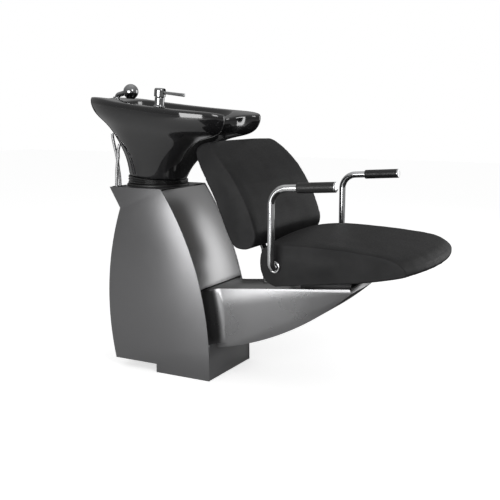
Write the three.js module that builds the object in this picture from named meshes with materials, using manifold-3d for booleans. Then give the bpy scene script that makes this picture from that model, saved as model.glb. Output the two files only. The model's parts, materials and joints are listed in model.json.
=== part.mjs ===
// Shampoo backwash unit: a pedestal with a cantilevered seat beam, a tilting ceramic basin,
// a reclined backrest and a leaf-shaped seat with two swing-up armrests.
// Millimetres, +Z up, +X towards the client's feet. The drawing origin is the foot of the
// plinth's front face, on the symmetry plane; the finished group is shifted at the end so that
// its origin is the middle of the base plate's floor face.
import * as THREE from 'three';
import { mergeVertices } from 'three/addons/utils/BufferGeometryUtils.js';
import Module from 'manifold-3d';

const wasm = await Module();
wasm.setup();

// ---- driving dimensions ----
const GAP = 0.3;
const DEG = Math.PI / 180;

const PEDESTAL_HALF = 146.5;
const PANEL = 4;
const SHEET = 3;
const PLINTH_LENGTH = 216;
const TOP_Z = 648;
const TOP_REAR_X = -399;
const NOTCH = { x: -356, z: 576 };
const REAR_BOTTOM_Z = 30;
const PANEL_STEP = 1;
const FRONT_PANEL_LOW_Z = 315;
const HOSE_SLOT = { x0: -394, x1: -368, y0: -138, y1: -92 };
const FRONT_ARC = { x: -1025, z: 60, r: 1025 };
const REAR_ARC = { x: 545, z: 245, r: 960 };

const BEAM_HALF = 92;
const BEAM_ROOT_TOP = { x: -21, z: 312 };
const BEAM_TIP_TOP = { x: 480, z: 361 };
const BEAM_TIP_LOW = { x: 488, z: 344 };
const BEAM_ARC = { x: -186, z: 1094, r: 1005 };
const ROOT_FILLET = 50;
const ROOT_BOTTOM_Z = 127.5;
const BEAM_SLOPE = Math.atan2(BEAM_TIP_TOP.z - BEAM_ROOT_TOP.z, BEAM_TIP_TOP.x - BEAM_ROOT_TOP.x);

const CUSHION_HALF = 253.6;
const SEAT_SLOPE = 7.75 * DEG;
const SEAT_NOSE_X = 704;
const SEAT_BOW = 34;
const SEAT_BOARD = { x: 304, z: 383.6, length: 285, half: 215, thickness: 12 };
const ARM_PIVOT = { x: 302, z: 445 };
const ARM_Y = 285;
const ARM_TOP_Z = 685;
const ARM_END = { x: 503, z: 698 };
const ARM_TUBE_R = 11;
const GRIP_LENGTH = 116;

const BASIN_PIVOT = { x: -293, z: 672 };
const BASIN_TILT = 5 * DEG;
const RIM_W = 259;
const FOOT_W = 6;
const FOOT_R = 103;
const MIXER = { u: 104, v: -171 };
const HANDSET = { u: -198, v: 0, w: RIM_W + 1.6 };

// ---- finishes ----
function finish(color, roughness, metalness) {
  return new THREE.MeshStandardMaterial({ color, roughness, metalness });
}
const GREY_PAINT = finish(0x77787a, 0.42, 0.35);
const PALE_PAINT = finish(0x8d8e90, 0.4, 0.35);
const BARE_STEEL = finish(0x6f7174, 0.5, 0.8);
const CHROME = finish(0xd9dadc, 0.08, 1);
const BLACK_CERAMIC = finish(0x1b1b1d, 0.12, 0);
const BLACK_RUBBER = finish(0x1a1a1b, 0.6, 0);
const BLACK_STEEL = finish(0x141415, 0.4, 0.3);
const BLACK_VINYL = finish(0x242425, 0.45, 0);
const BLACK_GRIP = finish(0x161617, 0.5, 0);
const PLYWOOD = finish(0x8a6b47, 0.8, 0);
const WHITE_PLASTIC = finish(0xd8d8d4, 0.5, 0);

const unit = new THREE.Group();
const basinGroup = new THREE.Group();
basinGroup.position.set(BASIN_PIVOT.x, 0, BASIN_PIVOT.z);
basinGroup.rotation.y = BASIN_TILT;
unit.add(basinGroup);

function addPart(name, geometry, material, parent = unit) {
  const mesh = new THREE.Mesh(geometry, material);
  mesh.name = name;
  parent.add(mesh);
}

// ---- solids: joins and cuts on closed meshes ----
function solid(geometry) {
  const bare = geometry.clone();
  bare.deleteAttribute('normal');
  bare.deleteAttribute('uv');
  const merged = mergeVertices(bare, 1e-4);
  return new wasm.Manifold(new wasm.Mesh({
    numProp: 3,
    vertProperties: new Float32Array(merged.attributes.position.array),
    triVerts: new Uint32Array(merged.index.array),
  }));
}

function geometryOf(body) {
  const mesh = body.getMesh();
  const geometry = new THREE.BufferGeometry();
  const positions = new Float32Array(mesh.vertProperties);
  geometry.setAttribute('position', new THREE.BufferAttribute(positions, 3));
  geometry.setIndex(new THREE.BufferAttribute(new Uint32Array(mesh.triVerts), 1));
  geometry.computeVertexNormals();
  return geometry;
}

function cut(geometry, ...tools) {
  return geometryOf(tools.reduce((body, tool) => body.subtract(solid(tool)), solid(geometry)));
}

function join(geometry, ...others) {
  return geometryOf(others.reduce((body, other) => body.add(solid(other)), solid(geometry)));
}

function common(geometry, other) {
  return geometryOf(solid(geometry).intersect(solid(other)));
}

// ---- plain shapes ----
function box(x0, x1, y0, y1, z0, z1) {
  const geometry = new THREE.BoxGeometry(x1 - x0, y1 - y0, z1 - z0);
  return geometry.translate((x0 + x1) / 2, (y0 + y1) / 2, (z0 + z1) / 2);
}

function rodZ(radius, x, y, z0, z1, sides = 24) {
  const geometry = new THREE.CylinderGeometry(radius, radius, z1 - z0, sides);
  return geometry.rotateX(Math.PI / 2).translate(x, y, (z0 + z1) / 2);
}

function rodY(radius, x, z, y0, y1, sides = 24) {
  const geometry = new THREE.CylinderGeometry(radius, radius, y1 - y0, sides);
  return geometry.translate(x, (y0 + y1) / 2, z);
}

function ringZ(inner, outer, x, y, z0, z1, sides = 32) {
  const profile = [[inner, z0], [outer, z0], [outer, z1], [inner, z1], [inner, z0]];
  return turned(profile, sides).translate(x, y, 0);
}

// A turned piece: (radius, height) points, spun about Z.
function turned(profile, sides = 32) {
  const points = profile.map(([r, h]) => new THREE.Vector2(r, h));
  return new THREE.LatheGeometry(points, sides).rotateX(Math.PI / 2);
}

// A side-view outline (x, z), made into a slab between two Y planes.
function slab(shape, y0, y1, curveSegments = 12) {
  const options = { depth: y1 - y0, bevelEnabled: false, curveSegments };
  const geometry = new THREE.ExtrudeGeometry(shape, options);
  return geometry.rotateX(Math.PI / 2).translate(0, y1, 0);
}

function outline(points) {
  return new THREE.Shape(points.map(([x, y]) => new THREE.Vector2(x, y)));
}

function polylineSlab(points, y0, y1) {
  return slab(outline(points), y0, y1);
}

// A skin through closed rings of equal length. Torus skins join the last ring to the first;
// the others get flat caps.
function skin(rings, torus) {
  const count = rings[0].length;
  const index = [];
  const bands = torus ? rings.length : rings.length - 1;
  for (let k = 0; k < bands; k++) {
    const low = k * count;
    const high = ((k + 1) % rings.length) * count;
    for (let i = 0; i < count; i++) {
      const j = (i + 1) % count;
      index.push(low + i, low + j, high + j);
      index.push(low + i, high + j, high + i);
    }
  }
  if (!torus) {
    const flat = rings[0].map((p) => new THREE.Vector2(p.x, p.y));
    const last = (rings.length - 1) * count;
    for (const [a, b, c] of THREE.ShapeUtils.triangulateShape(flat, [])) {
      index.push(c, b, a);
      index.push(last + a, last + b, last + c);
    }
  }
  const geometry = new THREE.BufferGeometry();
  const positions = rings.flat().flatMap((p) => [p.x, p.y, p.z]);
  geometry.setAttribute('position', new THREE.BufferAttribute(new Float32Array(positions), 3));
  geometry.setIndex(index);
  geometry.computeVertexNormals();
  return geometry;
}

// A path through hand-placed stations, so that straight runs need no steps of their own.
class StationPath extends THREE.Curve {
  constructor(stations) {
    super();
    this.stations = stations;
  }

  getPoint(t) {
    return this.stations[Math.round(t * (this.stations.length - 1))].clone();
  }

  getPointAt(t) {
    return this.getPoint(t);
  }

  getTangentAt(t) {
    const last = this.stations.length - 1;
    const i = Math.round(t * last);
    const before = this.stations[Math.max(0, i - 1)];
    const here = this.stations[i];
    const after = this.stations[Math.min(last, i + 1)];
    const incoming = here.clone().sub(before).normalize();
    const outgoing = after.clone().sub(here).normalize();
    return incoming.add(outgoing).normalize();
  }
}

// Straight runs joined by arcs: one radius for each inner corner.
function bentPath(corners, radii, stepsPerBend = 5) {
  const stations = [corners[0]];
  for (let i = 1; i < corners.length - 1; i++) {
    const back = corners[i - 1].clone().sub(corners[i]).normalize();
    const ahead = corners[i + 1].clone().sub(corners[i]).normalize();
    const half = (Math.PI - back.angleTo(ahead)) / 2;
    const radius = radii[i - 1];
    const start = corners[i].clone().addScaledVector(back, radius * Math.tan(half));
    const inward = back.clone().add(ahead).normalize();
    const centre = corners[i].clone().addScaledVector(inward, radius / Math.cos(half));
    const axis = ahead.clone().cross(back).normalize();
    for (let k = 0; k <= stepsPerBend; k++) {
      const spoke = start.clone().sub(centre).applyAxisAngle(axis, 2 * half * (k / stepsPerBend));
      stations.push(centre.clone().add(spoke));
    }
  }
  stations.push(corners[corners.length - 1]);
  return new StationPath(stations);
}

function sweep(path, outer, inner, sides, steps = path.stations.length - 1) {
  const section = circle(outer, sides);
  if (inner > 0) {
    section.holes.push(circle(inner, sides));
  }
  return new THREE.ExtrudeGeometry(section, { steps, bevelEnabled: false, extrudePath: path });
}

function circle(radius, sides) {
  const points = [];
  for (let i = 0; i < sides; i++) {
    const angle = (i / sides) * 2 * Math.PI;
    points.push(new THREE.Vector2(radius * Math.cos(angle), radius * Math.sin(angle)));
  }
  return new THREE.Shape(points);
}

// Front face of the pedestal at a height, and rear face at a height.
function frontX(z) {
  const rise = Math.max(0, z - FRONT_ARC.z);
  return FRONT_ARC.x + Math.sqrt(FRONT_ARC.r ** 2 - rise ** 2);
}

function rearX(z) {
  return REAR_ARC.x - Math.sqrt(REAR_ARC.r ** 2 - (z - REAR_ARC.z) ** 2);
}

function frontAngle(z) {
  return Math.asin((z - FRONT_ARC.z) / FRONT_ARC.r);
}

function rearAngle(z) {
  return Math.PI - Math.asin((z - REAR_ARC.z) / REAR_ARC.r);
}

// ---- pedestal ----
function sidePanelOutline() {
  const shape = new THREE.Shape();
  shape.moveTo(0, 0);
  shape.lineTo(0, FRONT_ARC.z);
  shape.absarc(FRONT_ARC.x, FRONT_ARC.z, FRONT_ARC.r, 0, frontAngle(TOP_Z), false);
  shape.lineTo(TOP_REAR_X, TOP_Z);
  shape.lineTo(NOTCH.x, NOTCH.z);
  shape.absarc(REAR_ARC.x, REAR_ARC.z, REAR_ARC.r, rearAngle(NOTCH.z), rearAngle(REAR_BOTTOM_Z), false);
  shape.lineTo(-PLINTH_LENGTH, REAR_BOTTOM_Z);
  shape.lineTo(-PLINTH_LENGTH, 0);
  return shape;
}

// A curved sheet that lies on an arc, between two heights.
function curvedSheet(arc, outerR, innerR, startAngle, endAngle) {
  const shape = new THREE.Shape();
  shape.absarc(arc.x, arc.z, outerR, startAngle, endAngle, false);
  shape.absarc(arc.x, arc.z, innerR, endAngle, startAngle, true);
  return shape;
}

function pedestalPanels() {
  const half = PEDESTAL_HALF;
  const inside = half - PANEL - GAP;
  addPart('side_panel_near', slab(sidePanelOutline(), -half, -half + PANEL, 16), GREY_PAINT);
  addPart('side_panel_far', slab(sidePanelOutline(), half - PANEL, half, 16), GREY_PAINT);

  const frontFace = FRONT_ARC.r - PANEL_STEP;
  const frontLow = frontAngle(FRONT_PANEL_LOW_Z);
  const frontHigh = frontAngle(TOP_Z - SHEET - 1);
  const front = curvedSheet(FRONT_ARC, frontFace, frontFace - SHEET, frontLow, frontHigh);
  addPart('front_panel', slab(front, -inside, inside, 14), PALE_PAINT);

  const kickTop = ROOT_BOTTOM_Z - 0.5;
  const kick = box(-PANEL_STEP - SHEET, -PANEL_STEP, -inside, inside, 0, kickTop);
  addPart('kick_panel', kick, GREY_PAINT);

  const rearFace = REAR_ARC.r - PANEL_STEP;
  const rearHigh = rearAngle(NOTCH.z - 4);
  const rearLow = rearAngle(REAR_BOTTOM_Z + SHEET + 1);
  const rear = curvedSheet(REAR_ARC, rearFace - SHEET, rearFace, rearHigh, rearLow);
  addPart('rear_cover', slab(rear, -inside, inside, 14), GREY_PAINT);

  addPart('top_plate', topPlate(inside), GREY_PAINT);

  const panRear = -386;
  const pan = polylineSlab([
    [panRear, REAR_BOTTOM_Z],
    [-PLINTH_LENGTH, REAR_BOTTOM_Z],
    [-PLINTH_LENGTH, 0],
    [-PLINTH_LENGTH + SHEET, 0],
    [-PLINTH_LENGTH + SHEET, REAR_BOTTOM_Z + SHEET],
    [panRear, REAR_BOTTOM_Z + SHEET],
  ], -inside, inside);
  const wastePipeWay = rodZ(40, -300, 0, REAR_BOTTOM_Z - 5, REAR_BOTTOM_Z + 10, 24);
  addPart('bottom_pan', cut(pan, wastePipeWay), GREY_PAINT);
}

// The top sheet has a lip folded down along the slanted notch at the rear.
function topPlate(half) {
  const notchLean = (TOP_REAR_X - NOTCH.x) / (TOP_Z - NOTCH.z);
  const lipZ = NOTCH.z + SHEET;
  const lipX = NOTCH.x + notchLean * SHEET + 1;
  const slantedSheet = 3.6;
  const sheet = polylineSlab([
    [frontX(TOP_Z) + 1, TOP_Z],
    [TOP_REAR_X + 2, TOP_Z],
    [lipX, lipZ],
    [lipX + slantedSheet, lipZ],
    [TOP_REAR_X + 2 + 1.5 * slantedSheet, TOP_Z - SHEET],
    [frontX(TOP_Z) - 1, TOP_Z - SHEET],
  ], -half, half);
  const { x0, x1, y0, y1 } = HOSE_SLOT;
  const drainHole = rodZ(58, BASIN_PIVOT.x, 0, TOP_Z - 10, TOP_Z + 10, 32);
  const hoseSlot = box(x0, x1, y0, y1, TOP_Z - 60, TOP_Z + 10);
  return cut(sheet, drainHole, hoseSlot);
}

function rearCoverScrews() {
  let number = 1;
  for (const z of [82, 528]) {
    for (const y of [-124, 124]) {
      const head = turned([[0, 0], [6, 0], [6, 1.2], [4.4, 2.8], [0, 3.4]], 16);
      const lean = Math.asin((z - REAR_ARC.z) / REAR_ARC.r);
      head.rotateY(-Math.PI / 2 + lean);
      head.translate(rearX(z) + 0.6, y, z);
      addPart(`rear_cover_screw_${number}`, head, CHROME);
      number += 1;
    }
  }
}

// ---- inner steel frame ----
const BASE_TOP = 12;
const COLUMN = { x0: -212, x1: -152, half: 40, wall: 4, top: 540 };
const SPINE = { length: 555, half: 36, depth: 54, wall: 4 };

function steelFrame() {
  const boltSpots = [];
  for (const x of [-195, -24]) {
    for (const y of [-115, 115]) {
      boltSpots.push([x, y]);
    }
  }
  const holes = boltSpots.map(([x, y]) => rodZ(7, x, y, -5, BASE_TOP + 5, 16));
  const plate = box(-PLINTH_LENGTH + SHEET + 1, -SHEET - 2, -140, 140, 0, BASE_TOP);
  addPart('base_plate', cut(plate, ...holes), BARE_STEEL);
  const tube = box(COLUMN.x0, COLUMN.x1, -COLUMN.half, COLUMN.half, BASE_TOP + GAP, COLUMN.top);
  const boreHalf = COLUMN.half - COLUMN.wall;
  const boreRear = COLUMN.x0 + COLUMN.wall;
  const boreFront = COLUMN.x1 - COLUMN.wall;
  const bore = box(boreRear, boreFront, -boreHalf, boreHalf, 0, COLUMN.top + 10);
  const post = cut(tube, bore);

  const head = polylineSlab([
    [COLUMN.x0, COLUMN.top],
    [COLUMN.x1, COLUMN.top],
    [-198, COLUMN.top + 60],
    [-198, TOP_Z - SHEET - GAP],
    [COLUMN.x0, TOP_Z - SHEET - GAP],
  ], -90, 90);
  const headHollow = box(-260, -100, -82, 82, COLUMN.top + 8, TOP_Z - 12);
  addPart('column', join(post, cut(head, headHollow)), BARE_STEEL);

  const spine = box(0, SPINE.length, -SPINE.half, SPINE.half, -SPINE.depth, 0);
  const hollowHalf = SPINE.half - SPINE.wall;
  const hollow = box(-10, 600, -hollowHalf, hollowHalf, SPINE.wall - SPINE.depth, -SPINE.wall);
  const spineTube = cut(spine, hollow);
  const spineRoot = COLUMN.x1 + 1;
  spineTube.rotateY(-BEAM_SLOPE);
  spineTube.translate(spineRoot + 5.3, 0, beamTop(spineRoot) - 4.5);
  addPart('beam_spine', spineTube, BARE_STEEL);
}

// ---- seat beam ----
function beamTop(x) {
  return BEAM_ROOT_TOP.z + (x - BEAM_ROOT_TOP.x) * Math.tan(BEAM_SLOPE);
}

function beamProfile(inset, rearX0) {
  const radius = BEAM_ARC.r - inset;
  const tipX = BEAM_TIP_LOW.x - 2 * inset;
  const startAngle = -Math.acos((rearX0 - BEAM_ARC.x) / radius);
  const tipAngle = -Math.acos((tipX - BEAM_ARC.x) / radius);
  const shape = new THREE.Shape();
  shape.moveTo(rearX0, beamTop(rearX0) - inset);
  shape.lineTo(rearX0, BEAM_ARC.z + radius * Math.sin(startAngle));
  shape.absarc(BEAM_ARC.x, BEAM_ARC.z, radius, startAngle, tipAngle, false);
  shape.lineTo(BEAM_TIP_TOP.x - inset, beamTop(BEAM_TIP_TOP.x - inset) - inset);
  return shape;
}

// The plan section of the beam's root at a height: full pedestal width, with concave corners.
function rootSection(z, inset, backwards) {
  const half = PEDESTAL_HALF - PANEL - GAP - inset;
  const fillet = ROOT_FILLET + inset;
  const x = frontX(z);
  const points = [[x - backwards, -half], [x - inset, -half]];
  const steps = 6;
  for (let i = 0; i <= steps; i++) {
    const angle = Math.PI / 2 * (i / steps);
    points.push([
      x + ROOT_FILLET - fillet * Math.cos(angle),
      -(BEAM_HALF + ROOT_FILLET) + fillet * Math.sin(angle),
    ]);
  }
  const near = points.filter(([, y]) => y >= -half - 1e-6);
  const far = near.map(([px, py]) => [px, -py]).reverse();
  return near.concat(far).map(([px, py]) => new THREE.Vector3(px, py, z));
}

function beamBody(inset, backwards) {
  const half = BEAM_HALF - inset;
  const main = slab(beamProfile(inset, -60), -half, half, 14);
  const levels = [90, 150, 200, 250, 300, 330];
  const root = skin(levels.map((z) => rootSection(z, inset, backwards)), false);
  const wide = slab(beamProfile(inset, -60), -PEDESTAL_HALF, PEDESTAL_HALF, 14);
  const flare = common(common(root, wide), box(-200, 200, -200, 200, ROOT_BOTTOM_Z + inset, 400));
  const behindFace = box(-300, -GAP, -200, 200, 0, ROOT_BOTTOM_Z);
  const behindRoot = box(-300, -24 - backwards, -200, 200, 0, 400);
  return cut(join(main, flare), behindFace, behindRoot);
}

function beamShell() {
  const outer = beamBody(0, 14);
  const inner = beamBody(SHEET, 20);
  const rearMouth = box(-60, -10, -60, 60, 150, 300);
  addPart('beam_shell', cut(outer, inner, rearMouth), PALE_PAINT);
}

// ---- seat ----
function seatProfile() {
  const shape = new THREE.Shape();
  shape.moveTo(301, 383);
  shape.lineTo(558, 418);
  shape.bezierCurveTo(610, 426, 672, 440, SEAT_NOSE_X + 4, 452);
  shape.bezierCurveTo(SEAT_NOSE_X + 8, 468, SEAT_NOSE_X - 10, 489, 643, 501);
  shape.bezierCurveTo(560, 513, 440, 518, 340, 515);
  shape.bezierCurveTo(300, 513, 272, 509, 262, 499);
  shape.bezierCurveTo(246, 484, 243, 440, 257, 414);
  shape.bezierCurveTo(268, 395, 284, 386, 301, 383);
  return shape;
}

// The seat board's own frame starts at its rear lower edge and slopes with the seat.
function placeSeatBoard(geometry) {
  return geometry.rotateY(-SEAT_SLOPE).translate(SEAT_BOARD.x, 0, SEAT_BOARD.z);
}

// The seat is one leaf section, stretched forward towards the middle so that its nose is bowed.
function bowedSeat() {
  const stations = 8;
  const section = seatProfile().getPoints(7);
  const rings = [];
  for (let k = 0; k <= stations; k++) {
    const y = CUSHION_HALF * (2 * k / stations - 1);
    const bow = SEAT_BOW * (1 - (y / CUSHION_HALF) ** 2);
    rings.push(section.slice(0, -1).map((p) => {
      const share = Math.max(0, (p.x - SEAT_BOARD.x) / (SEAT_NOSE_X - SEAT_BOARD.x));
      return new THREE.Vector3(p.x + bow * share ** 2, p.y, y);
    }));
  }
  return skin(rings, false).rotateX(Math.PI / 2);
}

function seat() {
  const { length, half, thickness } = SEAT_BOARD;
  const pocket = placeSeatBoard(box(-GAP, length + GAP, -half - GAP, half + GAP, -6, thickness + GAP));
  const inner = CUSHION_HALF - 30;
  const outer = CUSHION_HALF + 5;
  const nearHole = rodY(8.5, ARM_PIVOT.x, ARM_PIVOT.z, -outer, -inner, 16);
  const farHole = rodY(8.5, ARM_PIVOT.x, ARM_PIVOT.z, inner, outer, 16);
  addPart('seat_cushion', cut(bowedSeat(), pocket, nearHole, farHole), BLACK_VINYL);
  const board = box(0, length, -half, half, 0.4, thickness);
  addPart('seat_board', placeSeatBoard(board), PLYWOOD);
}

// ---- backrest ----
function backrestProfile() {
  const shape = new THREE.Shape();
  shape.moveTo(-5, 797);
  shape.bezierCurveTo(35, 735, 80, 668, 108, 598);
  shape.bezierCurveTo(122, 562, 134, 530, 148, 508);
  shape.bezierCurveTo(158, 490, 176, 487, 198, 489);
  shape.bezierCurveTo(222, 492, 234, 512, 232, 542);
  shape.bezierCurveTo(210, 630, 150, 740, 52, 811);
  shape.bezierCurveTo(30, 812, 8, 806, -5, 797);
  return shape;
}

const BACK_SLOPE = Math.atan2(735 - 530, 134 - 32);
const BACK_CREST = 299;
const BACK_BOARD = { x: 134, z: 534, length: 228, half: 215, thickness: 10 };

// The back board's own frame: local x runs up the back, local z points to the rear.
function placeBackBoard(geometry) {
  return geometry.rotateY(-(Math.PI - BACK_SLOPE)).translate(BACK_BOARD.x, 0, BACK_BOARD.z);
}

const BACK_BRACKET = [[330, 377.5], [194, 359.5], [186, 470], [131, 594]];
const BRACKET = { y: 100, half: 15, thickness: 8, slotGap: 1 };

// A bar of even thickness along a bent line in the side view.
function thickPolyline(points, thickness) {
  const left = [];
  const right = [];
  points.forEach(([x, z], i) => {
    const before = points[Math.max(0, i - 1)];
    const after = points[Math.min(points.length - 1, i + 1)];
    const incoming = new THREE.Vector2(x - before[0], z - before[1]).normalize();
    const outgoing = new THREE.Vector2(after[0] - x, after[1] - z).normalize();
    const along = incoming.clone().add(outgoing).normalize();
    const facing = outgoing.length() > 0 ? outgoing : incoming;
    const stretch = thickness / 2 / along.dot(facing);
    left.push([x - along.y * stretch, z + along.x * stretch]);
    right.push([x + along.y * stretch, z - along.x * stretch]);
  });
  return left.concat(right.reverse());
}

function bracketBar(y, grow) {
  const side = thickPolyline(BACK_BRACKET, BRACKET.thickness + grow);
  return polylineSlab(side, y - BRACKET.half - grow, y + BRACKET.half + grow);
}

// The back seen square on, in its board's frame: it narrows to large rounded top corners.
function backOutline() {
  const half = CUSHION_HALF;
  const shoulder = BACK_CREST - 150;
  const shape = new THREE.Shape();
  shape.moveTo(-140, -half);
  shape.lineTo(shoulder, -half);
  shape.bezierCurveTo(shoulder + 90, 1 - half, BACK_CREST, 16 - half, BACK_CREST, 85 - half);
  shape.lineTo(BACK_CREST, half - 85);
  shape.bezierCurveTo(BACK_CREST, half - 16, shoulder + 90, half - 1, shoulder, half);
  shape.lineTo(-140, half);
  return shape;
}

function backrest() {
  const wide = slab(backrestProfile(), -CUSHION_HALF, CUSHION_HALF, 8);
  const options = { depth: 400, bevelEnabled: false, curveSegments: 10 };
  const window = new THREE.ExtrudeGeometry(backOutline(), options).translate(0, 0, -200);
  const body = common(wide, placeBackBoard(window));
  const { length, half, thickness } = BACK_BOARD;
  const pocketHalf = half + 1;
  const pocket = box(-1, length + 1, -pocketHalf, pocketHalf, -thickness - GAP, thickness + 4);
  const slots = [-BRACKET.y, BRACKET.y].map((y) => bracketBar(y, BRACKET.slotGap));
  addPart('backrest_cushion', cut(body, placeBackBoard(pocket), ...slots), BLACK_VINYL);
  const board = placeBackBoard(box(0, length, -half, half, -thickness, -GAP));
  addPart('back_board', cut(board, ...slots), PLYWOOD);
  addPart('back_bracket_near', bracketBar(-BRACKET.y, 0), BLACK_STEEL);
  addPart('back_bracket_far', bracketBar(BRACKET.y, 0), BLACK_STEEL);
}

// ---- bracket between beam and seat ----
const SEAT_BRACKET = { x0: 303, x1: 478, half: 72, wall: 5 };

function seatBracket() {
  const { x0, x1, half, wall } = SEAT_BRACKET;
  const under = (x) => SEAT_BOARD.z + (x - SEAT_BOARD.x) * Math.tan(SEAT_SLOPE) - 0.7;
  const block = polylineSlab([
    [x0, beamTop(x0) + GAP],
    [x1, beamTop(x1) + GAP],
    [x1, under(x1)],
    [x0, under(x0)],
  ], -half, half);
  const hollow = polylineSlab([
    [x0 - 10, beamTop(x0) - 10],
    [x1 + 10, beamTop(x1) - 10],
    [x1 + 10, under(x1) - wall],
    [x0 - 10, under(x0) - wall],
  ], -half + wall, half - wall);
  addPart('seat_bracket', cut(block, hollow), BLACK_STEEL);
  for (const [side, word] of [[-1, 'near'], [1, 'far']]) {
    const head = turned([[0, 0], [7, 0], [7, 3], [4, 5.5], [0, 6.5]], 16);
    head.rotateX(side < 0 ? Math.PI / 2 : -Math.PI / 2);
    head.translate(437, side * (half + GAP), 376);
    addPart(`bracket_bolt_${word}`, head, CHROME);
  }
}

// ---- armrests ----
function armrest(side, word) {
  const at = (x, y, z) => new THREE.Vector3(x, side * y, z);
  const rise = new THREE.Vector2(ARM_END.x - ARM_PIVOT.x, ARM_END.z - ARM_TOP_Z).normalize();
  const path = bentPath([
    at(ARM_PIVOT.x, CUSHION_HALF + 4, ARM_PIVOT.z),
    at(ARM_PIVOT.x, ARM_Y, ARM_PIVOT.z),
    at(ARM_PIVOT.x, ARM_Y, ARM_TOP_Z),
    at(ARM_END.x, ARM_Y, ARM_END.z),
  ], [19, 50]);
  addPart(`arm_tube_${word}`, sweep(path, ARM_TUBE_R, ARM_TUBE_R - 2, 12), CHROME);

  const cup = turned([[12.4, GAP], [19, GAP], [19, 8], [17, 10.5], [12.4, 10.5], [12.4, GAP]], 20);
  cup.rotateX(side < 0 ? Math.PI / 2 : -Math.PI / 2);
  cup.translate(ARM_PIVOT.x, side * CUSHION_HALF, ARM_PIVOT.z);
  addPart(`arm_escutcheon_${word}`, cup, CHROME);

  const inner = CUSHION_HALF - 28;
  const outer = CUSHION_HALF + 11;
  const from = Math.min(side * inner, side * outer);
  const stud = rodY(7.8, ARM_PIVOT.x, ARM_PIVOT.z, from, from + outer - inner, 16);
  addPart(`arm_stud_${word}`, stud, BARE_STEEL);

  const bore = ARM_TUBE_R + GAP;
  const grip = turned([
    [bore, 0],
    [13, 0],
    [14, 1.5],
    [14, GRIP_LENGTH],
    [bore, GRIP_LENGTH],
    [bore, 0],
  ], 20);
  const cap = turned([
    [0, GRIP_LENGTH + GAP],
    [14, GRIP_LENGTH + GAP],
    [14, GRIP_LENGTH + 3],
    [12, GRIP_LENGTH + 5],
    [0, GRIP_LENGTH + 5.6],
  ], 20);
  for (const [name, piece, look] of [['grip', grip, BLACK_GRIP], ['grip_cap', cap, CHROME]]) {
    piece.rotateY(Math.PI / 2 - Math.atan2(rise.y, rise.x));
    piece.translate(ARM_END.x - rise.x * GRIP_LENGTH, side * ARM_Y, ARM_END.z - rise.y * GRIP_LENGTH);
    addPart(`${name}_${word}`, piece, look);
  }
}

// ---- basin ----
// The basin is drawn level, about its tilt pivot: u forward, v sideways, w up.
const RIM_OUTER = [
  [-284, 0, RIM_W],
  [-264, 71, RIM_W + 8],
  [-196, 121, RIM_W + 11],
  [-100, 156, RIM_W + 5],
  [0, 174, RIM_W + 2],
  [100, 192, RIM_W],
  [200, 197, RIM_W],
  [288, 170, RIM_W + 2],
  [330, 126, RIM_W - 2],
  [300, 94, RIM_W - 7],
  [236, 68, RIM_W - 24],
  [207, 0, RIM_W - 32],
];
const RIM_INNER = [
  [-166, 0, RIM_W],
  [-152, 52, RIM_W + 6],
  [-112, 86, RIM_W + 8],
  [-60, 110, RIM_W + 4],
  [15, 130, RIM_W + 1],
  [95, 146, RIM_W],
  [168, 148, RIM_W],
  [215, 128, RIM_W],
  [226, 104, RIM_W - 6],
  [218, 80, RIM_W - 17],
  [206, 52, RIM_W - 28],
  [184, 0, RIM_W - 35],
];
const BASIN_POINTS = 48;
const HORN = { reach: 330, sag: 20 };

function rimCurve(half) {
  const points = half.map(([u, v, w]) => new THREE.Vector3(u, v, w));
  const mirrored = half.slice(1, -1).reverse().map(([u, v, w]) => new THREE.Vector3(u, -v, w));
  const curve = new THREE.CatmullRomCurve3(points.concat(mirrored), true, 'centripetal');
  return Array.from({ length: BASIN_POINTS }, (_, i) => curve.getPoint(1 - i / BASIN_POINTS));
}

// A ring between the round foot and the rim: growth and height both run from 0 to 1.
function between(radius, w0, rim, growth, height) {
  return rim.map((point, i) => {
    const angle = Math.PI + (i / rim.length) * 2 * Math.PI;
    return new THREE.Vector3(
      THREE.MathUtils.lerp(radius * Math.cos(angle), point.x, growth),
      THREE.MathUtils.lerp(radius * Math.sin(angle), point.y, growth),
      THREE.MathUtils.lerp(w0, point.z, height),
    );
  });
}

// An outside ring, which hangs lower under the two horns beside the neck rest.
function outsideRing(rim, growth, height) {
  const { smoothstep } = THREE.MathUtils;
  const depth = HORN.sag * smoothstep(growth, 0.3, 0.88) * (1 - smoothstep(height, 0.84, 1));
  return between(FOOT_R, FOOT_W, rim, growth, height).map((point) => {
    point.z -= depth * Math.max(0, point.x / HORN.reach) ** 2;
    return point;
  });
}

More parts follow.
